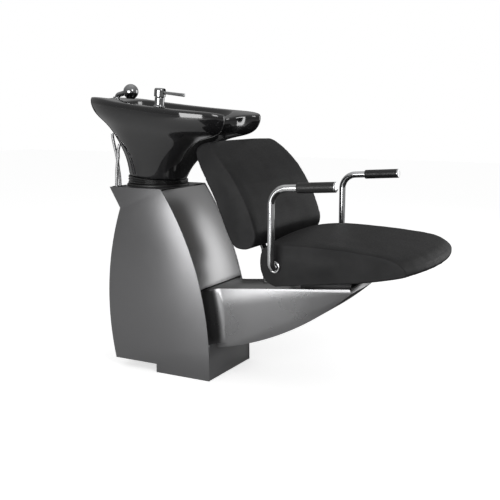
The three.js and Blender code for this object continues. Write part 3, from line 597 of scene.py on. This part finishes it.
def tube_mesh(path, radii, sides):
    """A round tube along points, with a radius at each, on frames carried along the path."""
    work = bmesh.new()
    path = [Vector(p) for p in path]
    side = None
    rings = []
    for i, point in enumerate(path):
        ahead = path[min(i + 1, len(path) - 1)] - path[max(i - 1, 0)]
        ahead.normalize()
        if side is None:
            side = ahead.orthogonal().normalized()
        side = (side - ahead * side.dot(ahead)).normalized()
        up = ahead.cross(side)
        ring = []
        for k in range(sides):
            angle = 2 * math.pi * k / sides
            offset = side * math.cos(angle) + up * math.sin(angle)
            ring.append(work.verts.new(point + offset * radii[i]))
        rings.append(ring)
    for low, high in zip(rings, rings[1:]):
        for k in range(sides):
            n = (k + 1) % sides
            work.faces.new((low[k], low[n], high[n], high[k]))
    work.faces.new(rings[0][::-1])
    work.faces.new(rings[-1])
    return shaded(work)


def turned_mesh(profile, sides, place):
    """A (radius, height) profile spun about Z, then put in its place."""
    work = bmesh.new()
    rings = []
    for radius, height in profile:
        count = 1 if radius < ON_AXIS else sides
        ring = []
        for k in range(count):
            angle = 2 * math.pi * k / sides
            spot = (radius * math.cos(angle), radius * math.sin(angle), height)
            ring.append(work.verts.new(spot))
        rings.append(ring)
    for low, high in zip(rings, rings[1:]):
        for k in range(sides):
            n = (k + 1) % sides
            corners = [low[k % len(low)], low[n % len(low)]]
            corners += [high[n % len(high)], high[k % len(high)]]
            work.faces.new(list(dict.fromkeys(corners)))
    work.transform(place)
    return shaded(work)


def rounded(profile, radius):
    """The profile with every corner but its ends rounded."""
    result = [profile[0]]
    for before, corner, after in zip(profile, profile[1:], profile[2:]):
        corner_v = Vector(corner)
        back = Vector(before) - corner_v
        ahead = Vector(after) - corner_v
        reach = min(radius, back.length / ROUND_SHARE, ahead.length / ROUND_SHARE)
        start = corner_v + back.normalized() * reach
        end = corner_v + ahead.normalized() * reach
        for k in range(ROUND_STEPS + 1):
            t = k / ROUND_STEPS
            point = start * (1 - t) ** 2 + corner_v * 2 * t * (1 - t) + end * t * t
            result.append((point.x, point.y))
    result.append(profile[-1])
    return result


def joined(*meshes):
    """Several meshes as one."""
    work = bmesh.new()
    for mesh in meshes:
        work.from_mesh(mesh)
    return shaded(work)


def carved(mesh, cutter):
    """The mesh with the cutter's shape taken out of it."""
    carrier = helper_object("carved", mesh)
    tool = helper_object("cutter", cutter)
    boolean = carrier.modifiers.new("carve", "BOOLEAN")
    boolean.operation = "DIFFERENCE"
    boolean.object = tool
    result = evaluated(carrier)
    for helper in (carrier, tool):
        bpy.data.objects.remove(helper)
    work = bmesh.new()
    work.from_mesh(result)
    return shaded(work)


def block(low, high, place):
    """A box between two corners, put in its place."""
    work = bmesh.new()
    bmesh.ops.create_cube(work, size=1)
    low, high = Vector(low), Vector(high)
    fit = Matrix.Translation((low + high) / 2) @ Matrix.Diagonal((*(high - low), 1))
    work.transform(place @ fit)
    return shaded(work)


# ---- armrests ----
ARM_R = 0.011
ARM_BENDS = (0.019, 0.050)
ARM_KNEE = 0.240
ARM_END = (0.201, 0.013)
ARM_ROOT = 0.004
GRIP_R = 0.0155
GRIP_LENGTH = 0.116
GRIP_PLAIN_END = 0.006
GRIP_RIB = 0.0042
# Rise and depth of the four points of one moulded groove.
GRIP_GROOVE = ((0, 0), (0.0005, 0.00045), (0.0009, 0.00045), (0.0014, 0))


def grip_profile():
    """A sleeve with a rolled root and fine moulded grooves along it."""
    bore = ARM_R + SEAM
    profile = [(bore, 0), (GRIP_R - 0.0012, 0), (GRIP_R, 0.0014)]
    count = int((GRIP_LENGTH - 2 * GRIP_PLAIN_END) / GRIP_RIB)
    for k in range(count):
        z = GRIP_PLAIN_END + k * GRIP_RIB
        profile += [(GRIP_R - depth, z + rise) for rise, depth in GRIP_GROOVE]
    profile += [(GRIP_R, GRIP_LENGTH), (bore, GRIP_LENGTH), (bore, 0)]
    return profile


CAP_PROFILE = [
    (0, GRIP_LENGTH + SEAM),
    (GRIP_R, GRIP_LENGTH + SEAM),
    (GRIP_R, GRIP_LENGTH + 0.0030),
    (GRIP_R - 0.0018, GRIP_LENGTH + 0.0048),
    (0, GRIP_LENGTH + 0.0056),
]
CUP_PROFILE = [
    (0.0124, SEAM),
    (0.0190, SEAM),
    (0.0190, 0.0078),
    (0.0168, 0.0105),
    (0.0124, 0.0105),
    (0.0124, SEAM),
]

for word, side in (("near", -1), ("far", 1)):
    pivot = Vector(joints[f"arm_fold_{word}"]["pos_m"])
    cushion_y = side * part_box("seat_cushion")[1].y
    knee = pivot + Vector((0, 0, ARM_KNEE))
    end = knee + Vector((ARM_END[0], 0, ARM_END[1]))
    root = Vector((pivot.x, cushion_y + side * ARM_ROOT, pivot.z))
    path = bent_path([root, pivot, knee, end], ARM_BENDS)
    tube = tube_mesh(path, [ARM_R] * len(path), TUBE_SIDES)
    link(f"{word}_arm_tube", tube, CHROME, f"arm_tube_{word}")

    along = (end - knee).normalized()
    turn = Vector((0, 0, 1)).rotation_difference(along).to_matrix().to_4x4()
    grip_place = Matrix.Translation(end - along * GRIP_LENGTH) @ turn
    sleeve = turned_mesh(grip_profile(), TURNED_SIDES, grip_place)
    link(f"{word}_grip", sleeve, GRIP_RUBBER, f"grip_{word}")
    button = turned_mesh(rounded(CAP_PROFILE, 0.001), TURNED_SIDES, grip_place)
    link(f"{word}_grip_cap", button, CHROME, f"grip_cap_{word}")

    outward = Matrix.Rotation(-side * math.pi / 2, 4, "X")
    cup_place = Matrix.Translation((pivot.x, cushion_y, pivot.z)) @ outward
    cup = turned_mesh(rounded(CUP_PROFILE, 0.0015), TURNED_SIDES, cup_place)
    link(f"{word}_arm_cup", cup, CHROME, f"arm_escutcheon_{word}")

# ---- mixer and hand shower ----
BASIN_TILT = math.radians(5)
basin_pivot = Vector(joints["basin_tilt"]["pos_m"])
BASIN_PLACE = Matrix.Translation(basin_pivot) @ Matrix.Rotation(BASIN_TILT, 4, "Y")
RIM = 0.259
FITTING_SIDES = 64
MIXER_UV = (0.104, -0.171)
CAP_LOW = RIM + 0.0344
CAP_HIGH = RIM + 0.063
SLOT_LOW = (-0.006, -0.0058, CAP_LOW + 0.008)
SLOT_HIGH = (0.03, 0.0058, CAP_HIGH + 0.005)
HINGE = (0.004, 0, CAP_LOW + 0.015)
HUB_R = 0.0056
HUB_HALF = 0.0048
LEVER_DROOP = math.radians(1.5)
LEVER_R = 0.0054
LEVER_LENGTH = 0.088
LEVER_SIDES = 32

mixer_place = BASIN_PLACE @ Matrix.Translation((*MIXER_UV, 0))
MIXER_PROFILE = [
    (0, 0.235),
    (0.008, 0.235),
    (0.008, RIM + 0.0013),
    (0.020, RIM + 0.0013),
    (0.020, RIM + 0.0040),
    (0.0172, RIM + 0.0058),
    (0.0160, RIM + 0.0090),
    (0.0160, RIM + 0.0310),
    (0.0148, CAP_LOW - 0.0004),
    (0, CAP_LOW - 0.0004),
]
mixer_column = turned_mesh(rounded(MIXER_PROFILE, 0.0014), FITTING_SIDES, mixer_place)
link("mixer_column", mixer_column, FITTING_CHROME, "mixer_body")

HEAD_PROFILE = [
    (0, CAP_LOW),
    (0.0180, CAP_LOW),
    (0.0190, CAP_LOW + 0.0012),
    (0.0190, CAP_HIGH - 0.0060),
    (0.0168, CAP_HIGH - 0.0010),
    (0, CAP_HIGH),
]
head = carved(
    turned_mesh(rounded(HEAD_PROFILE, 0.0025), FITTING_SIDES, mixer_place),
    block(SLOT_LOW, SLOT_HIGH, mixer_place),
)
link("mixer_head_cap", head, FITTING_CHROME, "mixer_cap")

droop = Matrix.Rotation(LEVER_DROOP, 4, "Y")
hinge_place = mixer_place @ Matrix.Translation(HINGE) @ droop
LEVER_PROFILE = [
    (0, 0.003),
    (LEVER_R, 0.003),
    (LEVER_R - 0.0006, 0.022),
    (LEVER_R, LEVER_LENGTH - 0.006),
    (LEVER_R, LEVER_LENGTH + 0.0025),
    (LEVER_R - 0.0016, LEVER_LENGTH + 0.0040),
    (0, LEVER_LENGTH + 0.0040),
]
lever_turn = hinge_place @ Matrix.Rotation(math.pi / 2, 4, "Y")
hub_turn = hinge_place @ Matrix.Rotation(math.pi / 2, 4, "X")
HUB_PROFILE = [(0, -HUB_HALF), (HUB_R, -HUB_HALF), (HUB_R, HUB_HALF), (0, HUB_HALF)]
lever = joined(
    turned_mesh(rounded(LEVER_PROFILE, 0.0012), LEVER_SIDES, lever_turn),
    turned_mesh(rounded(HUB_PROFILE, 0.0005), LEVER_SIDES, hub_turn),
)
link("lever_rod", lever, FITTING_CHROME, "mixer_lever")

SOCKET_U = -0.198
SOCKET_W = RIM + 0.0016
SOCKET_SIDES = 56
NECK_R = 0.009
NECK_BEND = 0.014
NECK_CORNERS = ((0, 0, 0.002), (0, 0, 0.017), (0.044, 0, 0.031))
BALL_REACH = 0.060
BALL_HEIGHT = 0.034
BALL_R = 0.027
BALL_STEPS = 32
FACE_DROP = 0.022
NOZZLE_SIDES = 10
# Radius of each ring of nozzles and how many it has.
NOZZLE_RINGS = ((0, 1), (0.005, 6), (0.0095, 12), (0.0132, 18))

socket_place = BASIN_PLACE @ Matrix.Translation((SOCKET_U, 0, SOCKET_W))
SOCKET_PROFILE = [
    (0.0112, SEAM),
    (0.0175, SEAM),
    (0.0175, 0.0028),
    (0.0142, 0.0065),
    (0.0138, 0.0110),
    (0.0112, 0.0110),
    (0.0112, SEAM),
]
socket = turned_mesh(rounded(SOCKET_PROFILE, 0.001), SOCKET_SIDES, socket_place)
link("shower_socket", socket, FITTING_CHROME, "handset_socket")

neck_path = bent_path([socket_place @ Vector(p) for p in NECK_CORNERS], [NECK_BEND])
neck = tube_mesh(neck_path, [NECK_R] * len(neck_path), TUBE_SIDES)
link("shower_neck", neck, FITTING_CHROME, "handset_neck")

ball_place = socket_place @ Matrix.Translation((BALL_REACH, 0, BALL_HEIGHT))
face_angle = math.acos(-FACE_DROP / BALL_R)
ball_profile = [(0, BALL_R)]
for k in range(1, BALL_STEPS + 1):
    angle = face_angle * k / BALL_STEPS
    ball_profile.append((BALL_R * math.sin(angle), BALL_R * math.cos(angle)))
ball_profile.append((0, -FACE_DROP))
ball = turned_mesh(ball_profile, FITTING_SIDES, ball_place)
link("shower_ball", ball, FITTING_CHROME, "handset_ball")

FACE_PROFILE = [
    (0, -0.0244),
    (0.0150, -0.0244),
    (0.0155, -0.0236),
    (0.0155, -0.0224),
    (0, -0.0224),
]
NOZZLE_PROFILE = [(0, -0.0256), (0.0007, -0.0256), (0.0011, -0.0240), (0, -0.0240)]
face_meshes = [turned_mesh(FACE_PROFILE, TURNED_SIDES, ball_place)]
for ring_radius, count in NOZZLE_RINGS:
    for k in range(count):
        angle = 2 * math.pi * k / count
        spot = (ring_radius * math.cos(angle), ring_radius * math.sin(angle), 0)
        nozzle_place = ball_place @ Matrix.Translation(spot)
        face_meshes.append(turned_mesh(NOZZLE_PROFILE, NOZZLE_SIDES, nozzle_place))
link("spray_plate", joined(*face_meshes), PLAIN_RUBBER, "spray_face")

# ---- gaiter ----
RING_INNER_R = 0.0960
RING_OUTER_R = 0.1110
GAITER_SIDES = 96
GAITER_MID_R = 0.1057
GAITER_RIB = 0.0014
GAITER_RIBS = 3
GAITER_ROWS = 36
GAITER_INNER_R = 0.097
GAITER_HIGH_W = 0.0055
GAITER_SMOOTH_ANGLE = math.radians(60)

ring_low, ring_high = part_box("gaiter_base_ring")
RING_PROFILE = [
    (RING_INNER_R, ring_low.z),
    (RING_OUTER_R, ring_low.z),
    (RING_OUTER_R, ring_high.z - 0.0015),
    (RING_OUTER_R - 0.0025, ring_high.z),
    (RING_INNER_R, ring_high.z),
    (RING_INNER_R, ring_low.z),
]
collar_place = Matrix.Translation((basin_pivot.x, 0, 0))
collar = turned_mesh(rounded(RING_PROFILE, 0.0012), GAITER_SIDES, collar_place)
link("gaiter_collar", collar, PLAIN_RUBBER, "gaiter_base_ring")


def gaiter_point(radius, angle, share):
    """A point between the collar's top and the basin's foot, share of the way up."""
    flat = Vector((radius * math.cos(angle), radius * math.sin(angle), 0))
    low = basin_pivot + flat
    low.z = ring_high.z + SEAM
    high = BASIN_PLACE @ (flat + Vector((0, 0, GAITER_HIGH_W)))
    return low.lerp(high, share)


def gaiter_mesh():
    """A bellows between the collar and the tilted foot of the basin, with its inner wall."""
    rows = []
    for k in range(GAITER_ROWS + 1):
        share = k / GAITER_ROWS
        wave = -math.cos(2 * math.pi * GAITER_RIBS * share)
        rows.append((GAITER_MID_R + GAITER_RIB * wave, share))
    rows += [(GAITER_INNER_R, 1), (GAITER_INNER_R, 0)]
    work = bmesh.new()
    rings = []
    for radius, share in rows:
        angles = [2 * math.pi * k / GAITER_SIDES for k in range(GAITER_SIDES)]
        rings.append([work.verts.new(gaiter_point(radius, a, share)) for a in angles])
    for low, high in zip(rings, rings[1:] + rings[:1]):
        for k in range(GAITER_SIDES):
            n = (k + 1) % GAITER_SIDES
            work.faces.new((low[k], low[n], high[n], high[k]))
    return shaded(work, GAITER_SMOOTH_ANGLE)


bellows = link("bellows", gaiter_mesh(), GAITER_RUBBER, "tilt_gaiter", rides=False)
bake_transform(bellows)

# ---- free hoses ----
HOSE_R = 0.0055
HOSE_RIDGE = 0.0034
HOSE_GROOVE = 0.0008
HOSE_STEPS = 6
HOSE_SIDES = 24
CREST_POWER = 0.7
ROUTE_STEPS = 60
# Points listed to follow the photo above the pedestal, as in the CAD.
HOSE_ROUTES = {
    "shower_hose": [
        (-0.335, -0.065, 0.829),
        (-0.328, -0.070, 0.806),
        (-0.316, -0.077, 0.780),
        (-0.301, -0.086, 0.746),
        (-0.290, -0.094, 0.710),
        (-0.280, -0.101, 0.676),
        (-0.276, -0.104, 0.648),
        (-0.263, -0.106, 0.622),
        (-0.244, -0.108, 0.596),
    ],
    "supply_hose": [
        (-0.289, -0.085, 0.794),
        (-0.289, -0.094, 0.771),
        (-0.285, -0.100, 0.750),
        (-0.285, -0.107, 0.725),
        (-0.282, -0.115, 0.698),
        (-0.278, -0.122, 0.674),
        (-0.275, -0.126, 0.648),
        (-0.261, -0.128, 0.622),
        (-0.242, -0.127, 0.596),
    ],
}


def smooth_route(points, spacing):
    """Evenly spaced points on a centripetal curve through the route's, and its length."""
    points = [Vector(p) for p in points]
    ends = [2 * points[0] - points[1], *points, 2 * points[-1] - points[-2]]
    dense = []
    for a, b, c, d in zip(ends, ends[1:], ends[2:], ends[3:]):
        t1 = (b - a).length ** 0.5
        t2 = t1 + (c - b).length ** 0.5
        t3 = t2 + (d - c).length ** 0.5
        for k in range(ROUTE_STEPS):
            t = t1 + (t2 - t1) * k / ROUTE_STEPS
            ab = a.lerp(b, t / t1)
            bc = b.lerp(c, (t - t1) / (t2 - t1))
            cd = c.lerp(d, (t - t2) / (t3 - t2))
            abc = ab.lerp(bc, t / t2)
            bcd = bc.lerp(cd, (t - t1) / (t3 - t1))
            dense.append(abc.lerp(bcd, (t - t1) / (t2 - t1)))
    dense.append(points[-1])
    reach = [0.0]
    for a, b in zip(dense, dense[1:]):
        reach.append(reach[-1] + (b - a).length)
    count = round(reach[-1] / spacing)
    even = []
    at = 0
    for k in range(count + 1):
        goal = reach[-1] * k / count
        while at < len(dense) - 2 and reach[at + 1] < goal:
            at += 1
        part = (goal - reach[at]) / (reach[at + 1] - reach[at])
        even.append(dense[at].lerp(dense[at + 1], min(part, 1)))
    return even, reach[-1]


for name, route in HOSE_ROUTES.items():
    path, length = smooth_route(route, HOSE_RIDGE / HOSE_STEPS)
    radii = []
    for k in range(len(path)):
        crest = abs(math.cos(math.pi * k / HOSE_STEPS)) ** CREST_POWER
        radii.append(HOSE_R - HOSE_GROOVE * (1 - crest))
    hose = tube_mesh(path, radii, HOSE_SIDES)
    piece = link(f"corrugated_{name}", hose, HOSE_STEEL, name)

# ---- stage ----
FLOOR_HALF = 12.0
FLOOR_GAP = 0.0002
FLOOR_COLOR = (0.62, 0.62, 0.62, 1)
FLOOR_SEEN_COLOR = (0.9, 0.9, 0.9, 1)
FLOOR_LIFT = 0.58
FLAG_Z = 0.004
FLAG_EDGE_X = 0.4
FLAG_FAR_Y = 2.6
REAR_FLAG_TOP = 1.3
HORIZON_COLOR = (0.2, 0.2, 0.2, 1)
SKY_COLOR = (0.52, 0.52, 0.52, 1)
SKY_FULL_AT = 0.85


def flat_card(low_x, low_y, high_x, high_y, z):
    """The corners of a level rectangle."""
    return [(low_x, low_y, z), (high_x, low_y, z), (high_x, high_y, z), (low_x, high_y, z)]


def card(name, corners, material):
    """A four-cornered sheet that belongs to the stage."""
    mesh = bpy.data.meshes.new(name)
    mesh.from_pydata(corners, [], [(0, 1, 2, 3)])
    mesh.materials.append(material)
    sheet = bpy.data.objects.new(name, mesh)
    bpy.context.scene.collection.objects.link(sheet)
    return sheet


def floor_material():
    """A pale floor that the camera sees as white with a faint shadow."""
    material = bpy.data.materials.new("pale_floor")
    material.use_nodes = True
    tree = material.node_tree
    tree.nodes.clear()
    output = tree.nodes.new("ShaderNodeOutputMaterial")
    choose = tree.nodes.new("ShaderNodeMixShader")
    rays = tree.nodes.new("ShaderNodeLightPath")
    plain = tree.nodes.new("ShaderNodeBsdfDiffuse")
    plain.inputs["Color"].default_value = FLOOR_COLOR
    seen = tree.nodes.new("ShaderNodeBsdfDiffuse")
    seen.inputs["Color"].default_value = FLOOR_SEEN_COLOR
    lift = tree.nodes.new("ShaderNodeEmission")
    lift.inputs["Strength"].default_value = FLOOR_LIFT
    both = tree.nodes.new("ShaderNodeAddShader")
    tree.links.new(seen.outputs[0], both.inputs[0])
    tree.links.new(lift.outputs[0], both.inputs[1])
    tree.links.new(rays.outputs["Is Camera Ray"], choose.inputs["Fac"])
    tree.links.new(plain.outputs[0], choose.inputs[1])
    tree.links.new(both.outputs[0], choose.inputs[2])
    tree.links.new(choose.outputs[0], output.inputs["Surface"])
    return material


def soft_light(name, place, aim, size, watts):
    """A rectangular lamp that the camera doesn't see."""
    data = bpy.data.lights.new(name, "AREA")
    data.shape = "RECTANGLE"
    data.size, data.size_y = size
    data.energy = watts
    lamp = bpy.data.objects.new(name, data)
    lamp.visible_camera = False
    lamp.location = place
    lamp.rotation_euler = (Vector(aim) - Vector(place)).to_track_quat("-Z", "Y").to_euler()
    bpy.context.scene.collection.objects.link(lamp)


def dark_flag(name, corners):
    """A black card that only reflections show, which gives the glossy pieces something dark."""
    flag = card(name, corners, FLAG_BLACK)
    flag.visible_camera = False
    flag.visible_shadow = False
    flag.visible_diffuse = False


floor_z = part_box("base_plate")[0].z - FLOOR_GAP
floor_corners = flat_card(-FLOOR_HALF, -FLOOR_HALF, FLOOR_HALF, FLOOR_HALF, floor_z)
card("floor", floor_corners, floor_material())

soft_light("key", (2.6, -1.6, 2.2), aim=(0.3, 0, 0.5), size=(1.0, 1.2), watts=18)
soft_light("front", (0.0, -3.8, 0.9), aim=(0.1, 0, 0.4), size=(2.6, 1.6), watts=80)
soft_light("top", (-0.3, 0.6, 3.2), aim=(0.1, 0, 0.4), size=(2.0, 2.0), watts=2)
soft_light("rear", (2.4, 3.4, 1.2), aim=(0.0, 0, 0.5), size=(2.4, 1.8), watts=23)

FLAG_BLACK = Shader("flag_black", (0.01, 0.01, 0.01), roughness=0.9).material
dark_flag("low_flag", flat_card(FLAG_EDGE_X, -FLAG_FAR_Y, 3.4, FLAG_FAR_Y, FLAG_Z))
dark_flag("far_flag", flat_card(-0.8, 0.4, FLAG_EDGE_X, FLAG_FAR_Y, FLAG_Z))
dark_flag(
    "rear_flag",
    [(-4.5, 2.0, 0), (-0.3, 4.6, 0), (-0.3, 4.6, REAR_FLAG_TOP), (-4.5, 2.0, REAR_FLAG_TOP)],
)


def studio_world():
    """White behind the unit for the camera, and a softer sky above a dim horizon for its light."""
    world = bpy.data.worlds.new("studio")
    world.use_nodes = True
    tree = world.node_tree
    tree.nodes.clear()
    output = tree.nodes.new("ShaderNodeOutputWorld")
    choose = tree.nodes.new("ShaderNodeMixShader")
    rays = tree.nodes.new("ShaderNodeLightPath")
    seen = tree.nodes.new("ShaderNodeBackground")
    seen.inputs["Color"].default_value = (1, 1, 1, 1)
    sky = tree.nodes.new("ShaderNodeBackground")
    coords = tree.nodes.new("ShaderNodeTexCoord")
    split = tree.nodes.new("ShaderNodeSeparateXYZ")
    ramp = tree.nodes.new("ShaderNodeValToRGB")
    horizon, zenith = ramp.color_ramp.elements
    horizon.color = HORIZON_COLOR
    zenith.position = SKY_FULL_AT
    zenith.color = SKY_COLOR
    tree.links.new(coords.outputs["Generated"], split.inputs["Vector"])
    tree.links.new(split.outputs["Z"], ramp.inputs["Fac"])
    tree.links.new(ramp.outputs["Color"], sky.inputs["Color"])
    tree.links.new(rays.outputs["Is Camera Ray"], choose.inputs["Fac"])
    tree.links.new(sky.outputs[0], choose.inputs[1])
    tree.links.new(seen.outputs[0], choose.inputs[2])
    tree.links.new(choose.outputs[0], output.inputs["Surface"])
    return world


bpy.context.scene.world = studio_world()
bpy.context.scene.view_settings.view_transform = "Standard"
